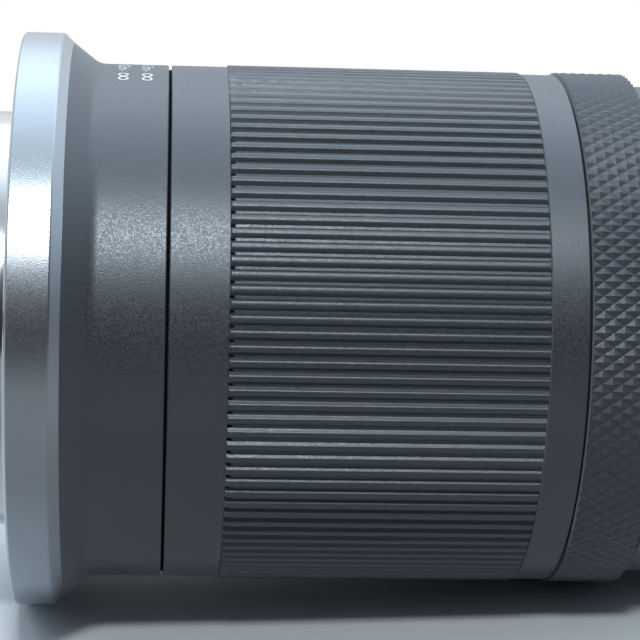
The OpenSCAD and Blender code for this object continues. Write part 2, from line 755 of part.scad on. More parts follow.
module front_cell() lens_axis() color("#1f2124") revolve([
  [front_cell_bore, front_cell_start], [extension_bore - fit, front_cell_start],
  [extension_bore - fit, extension_end], [front_glass_r + fit, extension_end],
  [front_glass_r + fit, front_seat], [second_glass_r + fit, front_seat],
  [second_glass_r + fit, second_back], [third_glass_r + fit, second_back],
  [third_glass_r + fit, third_ledge], [front_cell_bore, third_ledge]
]);

module name_ring() lens_axis() color("#232529") {
  revolve([
    [name_r, extension_end], [name_r, thread_start], [name_r - 0.5, thread_start],
    [name_lip_r, extension_end - 0.3], [name_lip_r, name_lip_z], [front_glass_r, name_lip_z],
    [front_glass_r, extension_end]
  ]);
}

module front_lens() lens_axis() color("lightcyan", 0.5)
  element(front_glass_r, glass_vertex - front_glass_t, glass_vertex, -joint_curve, front_curve);

module second_lens() lens_axis() color("lightcyan", 0.5)
  element(second_glass_r, second_back, glass_vertex - front_glass_t - cement, 0, joint_curve);

module third_lens() lens_axis() color("lightcyan", 0.5)
  element(third_glass_r, third_back, third_front, -third_back_curve, third_front_curve);

module variator_frame() lens_axis() color("#2a2d31") difference() {
  union() {
    ring(inner_r - variator_wall, inner_r, variator_start, variator_start + variator_len);
    ring(variator_rear_r + 4 * fit, inner_r - 2, variator_plate, variator_plate + variator_plate_t);
    revolve([
      [variator_ledge_r, variator_plate - 0.4], [variator_cell_r, variator_plate - 0.4],
      [variator_cell_r, variator_end], [variator_front_r + fit, variator_end],
      [variator_front_r + fit, variator_step], [variator_rear_r + fit, variator_step],
      [variator_rear_r + fit, variator_seat], [variator_ledge_r, variator_seat]
    ]);
  }
  around(3, variator_pin_a)
    radial(shank_r + fit / 2, inner_r - variator_wall + edge, inner_r + 1, variator_pin_z);
  around(6, 15) at(vent_circle, 0, variator_pin_z) cylinder(r = vent_r, h = 4);
}

module variator_followers() lens_axis() color("khaki")
  followers(variator_pin_z, variator_pin_a, inner_r - variator_wall + edge + 2 * fit, inner_r);

module variator_front_lens() lens_axis() color("lightcyan", 0.5)
  element(variator_front_r, variator_end - 1.6, variator_end - 0.4, -20, 60);

module variator_rear_lens() lens_axis() color("lightcyan", 0.5)
  element(variator_rear_r, variator_seat + fit, variator_seat + 4.15, 0, 30);

module carriage_frame() lens_axis() color("#2c2f34") difference() {
  plate_end = carriage_start + carriage_plate_t;
  revolve([
    [carriage_bore, carriage_start], [inner_r, carriage_start], [inner_r, carriage_end],
    [iris_plate_r + fit, carriage_end], [iris_plate_r + fit, iris_seat], [cavity_r, iris_seat],
    [cavity_r, plate_end], [carriage_bore, plate_end]
  ]);
  around(3, carriage_pin_a)
    radial(shank_r + fit / 2, cavity_r + follower_floor, inner_r + 1, carriage_pin_z);
  for (angle = rod_angles)
    at(rod_circle, angle, carriage_start - 1) cylinder(r = rod_r + fit, h = 1 + rod_seat);
}

module carriage_followers() lens_axis() color("khaki")
  followers(carriage_pin_z, carriage_pin_a, cavity_r + follower_floor + 2 * fit, inner_r);

module iris_base() lens_axis() color("#1d1f22") {
  ring(aperture_r, iris_plate_r, iris_seat, iris_seat + iris_base_t);
  around(blade_count) translate([pivot_r, 0, iris_seat])
    cylinder(r = pivot_pin_r, h = blade_stack_end - iris_seat + fit);
}

module iris_cover() lens_axis() color("#1d1f22") revolve([
  [aperture_r, iris_cover_plate], [iris_ring_r + slide_gap, iris_cover_plate],
  [iris_ring_r + slide_gap, iris_seat + iris_base_t], [iris_plate_r, iris_seat + iris_base_t],
  [iris_plate_r, carriage_end], [aperture_r, carriage_end]
]);

module relay_cell() lens_axis() color("#25282c") revolve([
  [aperture_r, carriage_end], [relay_flange_r, carriage_end],
  [relay_flange_r, carriage_end + relay_flange_t], [relay_cell_r, carriage_end + relay_flange_t],
  [relay_cell_r, carriage_end + relay_len], [relay_glass_r + fit, carriage_end + relay_len],
  [relay_glass_r + fit, relay_seat], [aperture_r, relay_seat]
]);

module relay_lens() lens_axis() color("lightcyan", 0.5) {
  back_curve = 80;
  back = relay_seat - sag(back_curve, aperture_r) + cement;
  element(relay_glass_r, back, carriage_end + relay_len - 0.4, back_curve, 35);
}

module focus_bracket() lens_axis() color("#34373c") difference() {
  union() {
    ring(bracket_bore, inner_r - 1, bracket_start, bracket_start + bracket_t);
    for (angle = post_angles)
      at(post_circle, angle, bracket_start) cylinder(r = post_r, h = carriage_start - bracket_start);
  }
  for (angle = rod_angles) at(rod_circle, angle, 0) cylinder(r = rod_r + fit, h = carriage_start);
  at(screw_circle, screw_angle, 0) cylinder(r = screw_r + 2 * fit, h = carriage_start);
}

module guide_rods() lens_axis() color("silver") for (angle = rod_angles)
  at(rod_circle, angle, bracket_start + fit)
    cylinder(r = rod_r, h = carriage_start + rod_seat - bracket_start - 2 * fit);

module focus_motor() lens_axis() color("gray") at(screw_circle, screw_angle, motor_start) {
  cylinder(r = motor_r, h = motor_len);
  translate([-plug_w / 2, motor_r - 0.4, plug_inset]) cube([plug_w, plug_w / 2, motor_len - 2 * plug_inset]);
}

module iris_ring() lens_axis() color("#3f4247") difference() {
  ring(iris_ring_bore, iris_ring_r, iris_ring_start, iris_ring_start + iris_ring_t);
  slot_half = drive_pin_r + drive_play;
  around(blade_count) translate([0, 0, iris_ring_start - 1]) {
    for (r = [drive_closed_r - fit, drive_r + fit])
      translate([r, 0, 0]) cylinder(r = slot_half, h = iris_ring_t + 2);
    translate([drive_closed_r - fit, -slot_half, 0])
      cube([drive_r - drive_closed_r + 2 * fit, 2 * slot_half, iris_ring_t + 2]);
  }
}

// One blade: a crescent, its root with the pivot hole, and the drive pin that the iris ring holds
module iris_blade(index) lens_axis() color("#26282b") rotate([0, 0, 360 * index / blade_count])
  translate([0, 0, blade_start + index * blade_level]) {
    linear_extrude(height = blade_t) difference() {
      union() {
        difference() {
          circle(r = blade_outer_r);
          circle(r = blade_inner_r);
          polygon([[0, 0], reach * [cos(blade_span), sin(blade_span)], [-reach, 0], [0, -reach],
            [reach, 0]]);
        }
        translate([root_start, -blade_root_w / 2]) square([drive_r - root_start, blade_root_w]);
        translate([drive_r, 0]) circle(r = blade_root_w / 2);
      }
      translate([pivot_r, 0]) circle(r = pivot_pin_r + 0.1);
    }
    translate([drive_r, 0, blade_t / 2])
      cylinder(r = drive_pin_r, h = pin_top - blade_start - index * blade_level - blade_t / 2);
  }

module iris_blade_1() iris_blade(0);
module iris_blade_2() iris_blade(1);
module iris_blade_3() iris_blade(2);
module iris_blade_4() iris_blade(3);
module iris_blade_5() iris_blade(4);
module iris_blade_6() iris_blade(5);
module iris_blade_7() iris_blade(6);

module shift_guide() lens_axis() color("#5a5e63") difference() {
  ring(shift_guide_bore, shift_guide_r, shift_guide_start, shift_guide_start + shift_guide_t);
  around(4) translate([shift_slot_r, -shift_slot_len / 2, shift_guide_start - 1])
    cube([shift_slot_w, shift_slot_len, shift_guide_t + 2]);
}

module shift_frame() lens_axis() color("#3c4046") {
  plate_r = cavity_r - 2 * shift - 2;
  plate_end = shift_frame_start + shift_plate_t;
  ledge_r = shift_glass_r - 0.8;
  revolve([
    [ledge_r, shift_frame_start], [plate_r, shift_frame_start], [plate_r, plate_end],
    [shift_cell_r, plate_end], [shift_cell_r, shift_frame_end], [shift_glass_r + fit, shift_frame_end],
    [shift_glass_r + fit, shift_seat], [ledge_r, shift_seat]
  ]);
}

module shift_lens() lens_axis() color("lightcyan", 0.5)
  element(shift_glass_r, shift_seat, shift_frame_end - slide_gap, 0, 40);

module focus_screw() lens_axis() color("silver") at(screw_circle, screw_angle, bracket_start + 0.1)
  cylinder(r = screw_r, h = motor_start - bracket_start - 0.1 - slide_gap);

// Arm from the focus cell out to a rod or to the lead screw
module focus_arm(angle, circle, z) rotate([0, 0, angle])
  translate([focus_cell_r - 0.6, -arm_w / 2, z]) cube([circle - focus_cell_r, arm_w, arm_t]);

module focus_frame() lens_axis() color("#31343a") difference() {
  ledge_r = focus_glass_r - focus_ledge;
  union() {
    revolve([
      [ledge_r, focus_start], [focus_cell_r, focus_start], [focus_cell_r, focus_start + focus_len],
      [focus_glass_r + fit, focus_start + focus_len], [focus_glass_r + fit, focus_start + focus_ledge],
      [ledge_r, focus_start + focus_ledge]
    ]);
    for (angle = rod_angles) {
      at(rod_circle, angle, focus_start - 0.4) cylinder(r = rod_r + rod_boss, h = focus_len + 0.8);
      focus_arm(angle, rod_circle, focus_start + focus_ledge);
    }
    at(screw_circle, screw_angle, focus_start + 0.4) cylinder(r = screw_r + rod_boss, h = arm_t);
    focus_arm(screw_angle, screw_circle, focus_start + 0.4);
  }
  for (angle = rod_angles) at(rod_circle, angle, 0) cylinder(r = rod_r + fit, h = carriage_start);
  at(screw_circle, screw_angle, 0) cylinder(r = screw_r + 2 * fit, h = carriage_start);
}

module focus_lens() lens_axis() color("lightcyan", 0.5)
  element(focus_glass_r, focus_start + 0.2, focus_start + 1.7, 70, -45);

mount_plate();
mount_screws();
trim_ring();
rear_barrel();
rear_baffle();
contact_block();
contact_pins();
rear_cell();
rear_lens();
main_board();
guide_tube();
guide_screws();
front_carrier();
carrier_screws();
control_sensors();
control_retainer();
light_seal();
zoom_ring();
zoom_grip();
cam_sleeve();
zoom_keys();
control_ring();
extension_barrel();
barrel_followers();
front_ring();
front_cell();
name_ring();
front_lens();
second_lens();
third_lens();
variator_frame();
variator_followers();
variator_front_lens();
variator_rear_lens();
carriage_frame();
carriage_followers();
iris_base();
iris_cover();
relay_cell();
relay_lens();
focus_bracket();
guide_rods();
focus_motor();
iris_ring();
iris_blade_1();
iris_blade_2();
iris_blade_3();
iris_blade_4();
iris_blade_5();
iris_blade_6();
iris_blade_7();
shift_guide();
shift_frame();
shift_lens();
focus_screw();
focus_frame();
focus_lens();
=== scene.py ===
import json
import math

import bpy
from mathutils import Matrix, Vector


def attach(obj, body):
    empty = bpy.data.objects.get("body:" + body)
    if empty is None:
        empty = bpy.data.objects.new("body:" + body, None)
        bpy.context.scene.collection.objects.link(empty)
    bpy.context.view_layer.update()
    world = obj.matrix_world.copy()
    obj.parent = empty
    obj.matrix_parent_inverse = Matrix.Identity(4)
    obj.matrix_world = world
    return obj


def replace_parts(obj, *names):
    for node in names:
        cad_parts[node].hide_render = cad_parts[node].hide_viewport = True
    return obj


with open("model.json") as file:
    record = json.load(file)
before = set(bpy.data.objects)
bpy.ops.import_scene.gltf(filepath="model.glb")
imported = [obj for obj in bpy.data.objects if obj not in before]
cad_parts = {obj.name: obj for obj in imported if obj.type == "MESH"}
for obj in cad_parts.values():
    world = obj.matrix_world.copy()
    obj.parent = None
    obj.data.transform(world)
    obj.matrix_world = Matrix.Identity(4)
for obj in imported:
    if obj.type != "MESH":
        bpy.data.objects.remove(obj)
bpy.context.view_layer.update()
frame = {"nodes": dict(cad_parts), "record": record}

# Sizes are in mm and go into meshes in metres; the optical axis is X, from the mount to the front
MM = 0.001
AXIS = Vector((1, 0, 0))
MERGE = 0.001
RING_STEPS = 240


def deselect():
    bpy.ops.object.select_all(action="DESELECT")


def pick(*pieces):
    """Selects these pieces alone, and makes the last one active."""
    deselect()
    for piece in pieces:
        piece.select_set(True)
    bpy.context.view_layer.objects.active = pieces[-1]


def edit(select):
    bpy.ops.object.mode_set(mode="EDIT")
    bpy.ops.mesh.select_all(action=select)


def leave_edit():
    bpy.ops.object.mode_set(mode="OBJECT")


def edit_top(piece):
    """Goes into edit mode with only those faces selected that look up."""
    edit("DESELECT")
    bpy.ops.mesh.select_mode(type="FACE")
    leave_edit()
    for face in piece.data.polygons:
        face.select = face.normal.z > 0.5
    bpy.ops.object.mode_set(mode="EDIT")


def leave_top():
    bpy.ops.mesh.select_mode(type="VERT")
    leave_edit()


def close_mesh():
    """Merges the doubles of the mesh in edit mode, turns its faces outwards and leaves edit mode."""
    bpy.ops.mesh.select_all(action="SELECT")
    bpy.ops.mesh.remove_doubles(threshold=MERGE * MM)
    bpy.ops.mesh.normals_make_consistent(inside=False)
    leave_edit()


def settle(piece):
    """Puts a piece's place into its mesh, so that its object sits at the origin."""
    pick(piece)
    bpy.ops.object.transform_apply(location=True, rotation=True, scale=True)


def carry(piece, name, body, material, angle=40):
    """Names and finishes a piece, and lets it ride on its body."""
    piece.name = name
    piece.data.name = name
    piece.data.materials.clear()
    piece.data.materials.append(material)
    pick(piece)
    bpy.ops.object.shade_smooth_by_angle(angle=math.radians(angle))
    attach(piece, body)
    return piece


def turned(profile, steps=RING_STEPS):
    """Turns a list of (station, radius) in mm about the optical axis, one extruded ring after another."""
    deselect()
    station, radius = profile[0]
    bpy.ops.mesh.primitive_circle_add(
        vertices=steps, radius=radius * MM, location=(station * MM, 0, 0), rotation=(0, math.pi / 2, 0)
    )
    piece = bpy.context.object
    settle(piece)
    edit("SELECT")
    for next_station, next_radius in profile[1:]:
        advance = ((next_station - station) * MM, 0, 0)
        bpy.ops.mesh.extrude_edges_move(TRANSFORM_OT_translate={"value": advance})
        grow = next_radius / radius
        bpy.ops.transform.resize(value=(1, grow, grow), center_override=(0, 0, 0))
        station, radius = next_station, next_radius
    close_mesh()
    return piece


# Shared effects: grain of sprayed paint, lines left by turning, and a faint film of handling
HANDLED_PATCHES = 90


def new_group(name, inputs, outputs):
    group = bpy.data.node_groups.new(name, "ShaderNodeTree")
    for label, value in inputs:
        socket = group.interface.new_socket(label, in_out="INPUT", socket_type="NodeSocketFloat")
        socket.default_value = value
    for label in outputs:
        group.interface.new_socket(label, in_out="OUTPUT", socket_type="NodeSocketFloat")
    return group, group.nodes.new("NodeGroupInput"), group.nodes.new("NodeGroupOutput")


def maths(tree, operation, first, second=None, clamp=False):
    node = tree.nodes.new("ShaderNodeMath")
    node.operation = operation
    node.use_clamp = clamp
    for socket, value in zip(node.inputs, (first, second)):
        if isinstance(value, (int, float)):
            socket.default_value = value
        elif value is not None:
            tree.links.new(value, socket)
    return node.outputs[0]


def make_paint_grain():
    """Cells the size of a paint droplet: each has its own tone, and a low dome."""
    group, given, out = new_group(
        "paint_grain", [("Cells per metre", 6500), ("Sharpness", 1)], ["Fleck", "Height"]
    )
    cells = group.nodes.new("ShaderNodeTexVoronoi")
    group.links.new(group.nodes.new("ShaderNodeTexCoord").outputs["Object"], cells.inputs["Vector"])
    group.links.new(given.outputs["Cells per metre"], cells.inputs["Scale"])
    tone = group.nodes.new("ShaderNodeSeparateColor")
    group.links.new(cells.outputs["Color"], tone.inputs[0])
    off_middle = maths(group, "SUBTRACT", tone.outputs[0], 0.5)
    contrast = maths(group, "MULTIPLY", off_middle, given.outputs["Sharpness"])
    group.links.new(maths(group, "ADD", contrast, 0.5, clamp=True), out.inputs["Fleck"])
    fall = maths(group, "MULTIPLY", cells.outputs["Distance"], cells.outputs["Distance"])
    group.links.new(maths(group, "SUBTRACT", 1.0, fall), out.inputs["Height"])
    return group


def make_turned_lines():
    """Lines that run round the axis, on a turned wall and on a faced end alike."""
    group, given, out = new_group("turned_lines", [("Lines per metre", 9000)], ["Line"])
    part = group.nodes.new("ShaderNodeSeparateXYZ")
    group.links.new(group.nodes.new("ShaderNodeTexCoord").outputs["Object"], part.inputs[0])
    y = maths(group, "MULTIPLY", part.outputs["Y"], part.outputs["Y"])
    z = maths(group, "MULTIPLY", part.outputs["Z"], part.outputs["Z"])
    radius = maths(group, "SQRT", maths(group, "ADD", y, z))
    along = maths(group, "ADD", part.outputs["X"], radius)
    noise = group.nodes.new("ShaderNodeTexNoise")
    noise.noise_dimensions = "1D"
    noise.inputs["Detail"].default_value = 2
    noise.inputs["Scale"].default_value = 1
    group.links.new(maths(group, "MULTIPLY", along, given.outputs["Lines per metre"]), noise.inputs["W"])
    group.links.new(noise.outputs[0], out.inputs["Line"])
    return group


def make_handling():
    """Large soft patches, as of a film left by hands."""
    group, given, out = new_group("handling_film", [("Patches per metre", HANDLED_PATCHES)], ["Film"])
    noise = group.nodes.new("ShaderNodeTexNoise")
    noise.inputs["Detail"].default_value = 4
    group.links.new(group.nodes.new("ShaderNodeTexCoord").outputs["Object"], noise.inputs["Vector"])
    group.links.new(given.outputs["Patches per metre"], noise.inputs["Scale"])
    group.links.new(noise.outputs[0], out.inputs["Film"])
    return group


PAINT_GRAIN = make_paint_grain()
TURNED_LINES = make_turned_lines()
HANDLING = make_handling()


class Finish:
    """A material in the making, with short ways to place effects on its surface."""

    def __init__(self, name, colour, roughness, metallic=0.0, **sockets):
        self.material = bpy.data.materials.new(name)
        self.material.use_nodes = True
        self.tree = self.material.node_tree
        self.surface = self.tree.nodes["Principled BSDF"]
        self.colour = colour
        self.set("Base Color", (*colour, 1))
        self.set("Roughness", roughness)
        self.set("Metallic", metallic)
        for label, value in sockets.items():
            self.set(label.replace("_", " "), value)

    def set(self, label, value):
        self.surface.inputs[label].default_value = value

    def effect(self, group, **values):
        node = self.tree.nodes.new("ShaderNodeGroup")
        node.node_tree = group
        for label, value in values.items():
            node.inputs[label.replace("_", " ")].default_value = value
        return node

    def tint(self, mask, other):
        mix = self.tree.nodes.new("ShaderNodeMix")
        mix.data_type = "RGBA"
        mix.inputs["A"].default_value = (*self.colour, 1)
        mix.inputs["B"].default_value = (*other, 1)
        self.tree.links.new(mask, mix.inputs["Factor"])
        self.tree.links.new(mix.outputs["Result"], self.surface.inputs["Base Color"])

    def handle(self, other, patches=HANDLED_PATCHES):
        """Tints the surface in the faint patches that handling leaves."""
        self.tint(self.effect(HANDLING, Patches_per_metre=patches).outputs["Film"], other)

    def vary_roughness(self, mask, low, high):
        reach = self.tree.nodes.new("ShaderNodeMapRange")
        reach.inputs["To Min"].default_value = low
        reach.inputs["To Max"].default_value = high
        self.tree.links.new(mask, reach.inputs["Value"])
        self.tree.links.new(reach.outputs[0], self.surface.inputs["Roughness"])

    def bump(self, height, distance):
        node = self.tree.nodes.new("ShaderNodeBump")
        node.inputs["Strength"].default_value = 1.0
        node.inputs["Distance"].default_value = distance
        self.tree.links.new(height, node.inputs["Height"])
        self.tree.links.new(node.outputs[0], self.surface.inputs["Normal"])


# Makers of finishes: depths of grain are in metres, and roughness varies this far about its middle
PAINT_IOR = 2.1
PAINT_CAST = (0.81, 0.91, 1.0)
PAINT_SHEEN, PAINT_SHEEN_ROUGHNESS = 0.45, 0.35
DROPLET_SMOOTHER, DROPLET_ROUGHER = 0.1, 0.09
SATIN_SMOOTHER, SATIN_ROUGHER = 0.02, 0.05
MOULD_SPREAD = 0.08
# Shares of the middle roughness along turned lines, and of the colour under a film of handling
LINE_SMOOTHER, LINE_ROUGHER = 0.7, 1.3
METAL_HANDLED, GLASS_HANDLED = 0.82, 0.985
GLASS_IOR = 1.55


def toned(colour, share):
    return [channel * share for channel in colour]


def sprayed(name, colour, fleck_colour, roughness, cells=7200, depth=0.00001):
    """Dark paint with a cool sheen, in flecks the size of droplets."""
    finish = Finish(
        name, colour, roughness,
        IOR=PAINT_IOR, Sheen_Weight=PAINT_SHEEN, Sheen_Roughness=PAINT_SHEEN_ROUGHNESS,
    )
    finish.set("Specular Tint", (*PAINT_CAST, 1))
    finish.set("Sheen Tint", (*PAINT_CAST, 1))
    grain = finish.effect(PAINT_GRAIN, Cells_per_metre=cells)
    finish.tint(grain.outputs["Fleck"], fleck_colour)
    finish.vary_roughness(grain.outputs["Fleck"], roughness - DROPLET_SMOOTHER, roughness + DROPLET_ROUGHER)
    finish.bump(grain.outputs["Height"], depth)
    return finish.material


def satin_metal(name, colour, handled_colour, roughness, cells=6500, depth=0.000005):
    """Blasted metal with a fine, even grain."""
    finish = Finish(name, colour, roughness, metallic=1.0)
    grain = finish.effect(PAINT_GRAIN, Cells_per_metre=cells)
    finish.handle(handled_colour)
    finish.vary_roughness(grain.outputs["Fleck"], roughness - SATIN_SMOOTHER, roughness + SATIN_ROUGHER)
    finish.bump(grain.outputs["Height"], depth)
    return finish.material


def machined(name, colour, roughness, lines=9000, depth=0.000002):
    """Metal with the lines that turning leaves."""
    finish = Finish(name, colour, roughness, metallic=1.0)
    line = finish.effect(TURNED_LINES, Lines_per_metre=lines)
    finish.vary_roughness(line.outputs["Line"], roughness * LINE_SMOOTHER, roughness * LINE_ROUGHER)
    finish.handle(toned(colour, METAL_HANDLED))
    finish.bump(line.outputs["Line"], depth)
    return finish.material


def moulded(name, colour, roughness, cells=4000, depth=0.000012, paler=1.35, shine=0.5):
    """Plastic and the like, with an even grain and a faint paler film."""
    finish = Finish(name, colour, roughness, Specular_IOR_Level=shine)
    grain = finish.effect(PAINT_GRAIN, Cells_per_metre=cells, Sharpness=2)
    finish.handle(toned(colour, paler))
    finish.vary_roughness(grain.outputs["Fleck"], roughness - MOULD_SPREAD, roughness + MOULD_SPREAD)
    finish.bump(grain.outputs["Height"], depth)
    return finish.material


def coated_glass(name, tint, film):
    """Clear glass whose reflections take the tint of its coating."""
    finish = Finish(name, tint, 0.0, Transmission_Weight=1.0, IOR=GLASS_IOR)
    finish.set("Specular Tint", (*film, 1))
    finish.handle(toned(tint, GLASS_HANDLED))
    return finish.material


BARREL_PAINT = sprayed("barrel_paint", (0.016, 0.0185, 0.022), (0.036, 0.042, 0.050), 0.44)
GRIP_RUBBER = sprayed("grip_rubber", (0.013, 0.015, 0.018), (0.031, 0.036, 0.043), 0.45)
KNURL_PLASTIC = sprayed("knurl_plastic", (0.014, 0.0165, 0.020), (0.028, 0.033, 0.039), 0.57, depth=0.000008)
SILVER = satin_metal("satin_silver", (0.455, 0.51, 0.555), (0.43, 0.48, 0.525), 0.3)
MOUNT_CHROME = machined("mount_chrome", (0.74, 0.75, 0.76), 0.15, lines=5000, depth=0.000004)
SCREW_STEEL = machined("screw_steel", (0.48, 0.49, 0.51), 0.3, lines=16000)
CAM_ALUMINIUM = machined("cam_aluminium", (0.030, 0.031, 0.034), 0.42)
CONTACT_GOLD = machined("contact_gold", (0.86, 0.62, 0.26), 0.22, lines=14000)
INNER_BLACK = moulded("inner_black", (0.008, 0.0085, 0.010), 0.62, shine=0.3)
BOARD_GREEN = moulded("board_green", (0.016, 0.10, 0.045), 0.4, cells=2400, depth=0.00001, paler=1.6)
ROLLER_RESIN = moulded("roller_resin", (0.022, 0.022, 0.023), 0.45)
FELT = moulded("black_felt", (0.004, 0.0042, 0.005), 0.95, cells=9000, depth=0.00006, paler=1.6, shine=0.1)
BLADE_STEEL = moulded("blade_coating", (0.020, 0.021, 0.024), 0.4)
MARK_WHITE = moulded("mark_white", (0.72, 0.74, 0.76), 0.5, cells=9000, depth=0.000004, paler=1.05)
MARK_RED = moulded("mark_red", (0.46, 0.022, 0.026), 0.28, cells=3000, depth=0.000003, paler=1.1)
FRONT_GLASS = coated_glass("front_glass", (0.96, 0.99, 0.98), (0.10, 0.27, 0.15))
INNER_GLASS = coated_glass("inner_glass", (0.97, 0.98, 1.0), (0.17, 0.09, 0.27))

FINISH_OF_SLOT = {
    "mount_chrome": MOUNT_CHROME, "screw_steel": SCREW_STEEL, "trim_silver": SILVER,
    "barrel_plastic": BARREL_PAINT, "grip_rubber": GRIP_RUBBER, "control_plastic": KNURL_PLASTIC,
    "inner_black": INNER_BLACK, "contact_gold": CONTACT_GOLD, "glass": INNER_GLASS,
    "board_green": BOARD_GREEN, "roller_resin": ROLLER_RESIN, "cam_aluminium": CAM_ALUMINIUM,
    "felt": FELT, "blade_steel": BLADE_STEEL,
}
for subpart in frame["record"]["subparts"]:
    solid = frame["nodes"][subpart["node"]]
    solid.data.materials.clear()
    solid.data.materials.append(FINISH_OF_SLOT[subpart["material_slot"]])
frame["nodes"]["front_lens"].data.materials[0] = FRONT_GLASS

# Ribbed sleeve of the zoom ring: one rib drawn up from a block, turned round the sleeve, on a groove floor
RIB_COUNT = 120
RIB_START, RIB_END = 24.34, 59.72
RIB_END_DRAFT = 0.998
# Radius and half width of a rib from its root to its land
RIB_PROFILE = [
    (30.62, 0.69), (30.71, 0.63), (30.745, 0.585),
    (31.02, 0.405), (31.08, 0.35), (31.125, 0.275), (31.15, 0.175),
]
FLOOR_START, FLOOR_EDGE = 24.82, 0.08
SLEEVE_BORE, GROOVE_FLOOR = 30.36, 30.70


def make_rib():
    """Draws the top of a thin slab up in steps, each narrower than the last."""
    middle = (RIB_START + RIB_END) / 2
    (root, half_width), (radius, next_half) = RIB_PROFILE[:2]
    deselect()
    bpy.ops.mesh.primitive_cube_add(size=1, location=(middle * MM, 0, (root + radius) / 2 * MM))
    rib = bpy.context.object
    rib.scale = ((RIB_END - RIB_START) * MM, 2 * half_width * MM, (radius - root) * MM)
    settle(rib)
    edit_top(rib)
    bpy.ops.transform.resize(value=(1, next_half / half_width, 1), center_override=(middle * MM, 0, 0))
    for next_radius, narrower in RIB_PROFILE[2:]:
        rise = (0, 0, (next_radius - radius) * MM)
        bpy.ops.mesh.extrude_region_move(TRANSFORM_OT_translate={"value": rise})
        draw_in = (RIB_END_DRAFT, narrower / next_half, 1)
        bpy.ops.transform.resize(value=draw_in, center_override=(middle * MM, 0, 0))
        radius, next_half = next_radius, narrower
    leave_top()
    return rib


def make_grip():
    sleeve = turned([
        (FLOOR_START, SLEEVE_BORE), (FLOOR_START, GROOVE_FLOOR - FLOOR_EDGE),
        (FLOOR_START + FLOOR_EDGE, GROOVE_FLOOR), (RIB_END - FLOOR_EDGE, GROOVE_FLOOR),
        (RIB_END, GROOVE_FLOOR - FLOOR_EDGE), (RIB_END, SLEEVE_BORE), (FLOOR_START, SLEEVE_BORE),
    ])
    rib = make_rib()
    edit("SELECT")
    bpy.ops.mesh.spin(
        steps=RIB_COUNT, dupli=True, angle=math.tau, use_auto_merge=False, center=(0, 0, 0), axis=AXIS
    )
    close_mesh()
    pick(rib, sleeve)
    bpy.ops.object.join()
    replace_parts(carry(sleeve, "ribbed_grip", "zoom", GRIP_RUBBER, angle=34), "zoom_grip")


make_grip()

# Near-black felt round the lip of the rear barrel, where the zoom ring laps over it: painted shade that
# makes the seam read dark
LIP = 30.30
SEAM_SHADE_START, SEAM_SHADE_END = 17.41, 18.36
SEAM_SHADE_DEPTH, SEAM_SHADE_EDGE = 0.10, 0.06


def make_seam_felt():
    ring = turned([
        (SEAM_SHADE_START, LIP), (SEAM_SHADE_START, LIP + SEAM_SHADE_DEPTH), (SEAM_SHADE_END - SEAM_SHADE_EDGE, LIP + SEAM_SHADE_DEPTH),
        (SEAM_SHADE_END, LIP + SEAM_SHADE_DEPTH - SEAM_SHADE_EDGE), (SEAM_SHADE_END, LIP), (SEAM_SHADE_START, LIP),
    ])
    # The felt's near-black colour is painted shade in the seam
    carry(ring, "seam_shade_felt", "barrel", FELT)


make_seam_felt()

# Filter thread inside the front ring, and the steps that stop stray light on the cone round the front glass
THREAD_START, THREAD_PITCH, THREAD_TURNS = 80.5, 0.75, 5
THREAD_CREST, THREAD_ROOT, THREAD_BACK = 27.2, 27.49, 27.53
THREAD_FLAT, THREAD_FLANK = 0.06, 0.36
THREAD_RING_STEPS = 200
CONE_OUTER, CONE_MIDDLE, CONE_INNER = (80.40, 26.50), (78.87, 24.78), (77.40, 23.13)
CONE_STEPS, CONE_STEP_BACK = 5, 0.06
CONE_RING_STEPS = 160


def make_filter_thread():
    profile = [(THREAD_START, THREAD_ROOT)]
    for turn_index in range(THREAD_TURNS):
        crest = THREAD_START + THREAD_PITCH * (turn_index + 0.5)
        profile += [
            (crest - THREAD_FLAT, THREAD_CREST), (crest + THREAD_FLAT, THREAD_CREST),
            (crest + THREAD_FLANK, THREAD_ROOT),
        ]
    profile += [(profile[-1][0], THREAD_BACK), (THREAD_START, THREAD_BACK), (THREAD_START, THREAD_ROOT)]
    ring = turned(profile, THREAD_RING_STEPS)
    carry(ring, "filter_thread", "front", INNER_BLACK, angle=20)


def make_cone_steps():
    """Each step is a flat that faces the front, and a short wall that faces the axis."""
    (station, radius), (deep, narrow) = CONE_MIDDLE, CONE_INNER
    profile = []
    for step in range(CONE_STEPS):
        share, next_share = step / CONE_STEPS, (step + 1) / CONE_STEPS
        at_station = station + (deep - station) * share
        profile += [
            (at_station, radius + (narrow - radius) * share),
            (at_station, radius + (narrow - radius) * next_share),
        ]
    profile += [
        (deep, narrow), (deep, narrow + CONE_STEP_BACK),
        (station, radius + CONE_STEP_BACK), (station, radius),
    ]
    ring = turned(profile, CONE_RING_STEPS)
    carry(ring, "cone_steps", "front", INNER_BLACK, angle=20)


make_filter_thread()
make_cone_steps()

# Marks: a mesh of letters, a bar or a button, laid on the barrel or on the cone round the front glass
PRINT_HEIGHT, PRINT_DEPTH = 0.015, 0.012
LETTER_MERGE = 0.0005
LINE_DEPTH = 0.02
BUTTON_DEPTH = 0.16
# Share of its width that each step of the button's rim keeps, and how far it rises
BUTTON_RIM = [(0.94, 0.03), (0.82, 0.025), (0.6, 0.015)]


def lay_round(piece, radius, angle, station):
    """Takes a flat mesh, reading along its X and upright along its Y, in mm, round the barrel."""
    for point in piece.data.vertices:
        along, up_axis, out = point.co
        turn_to = math.radians(angle) + along / radius
        reach = (radius + PRINT_HEIGHT + out) * MM
        point.co = ((station + up_axis) * MM, reach * math.cos(turn_to), reach * math.sin(turn_to))


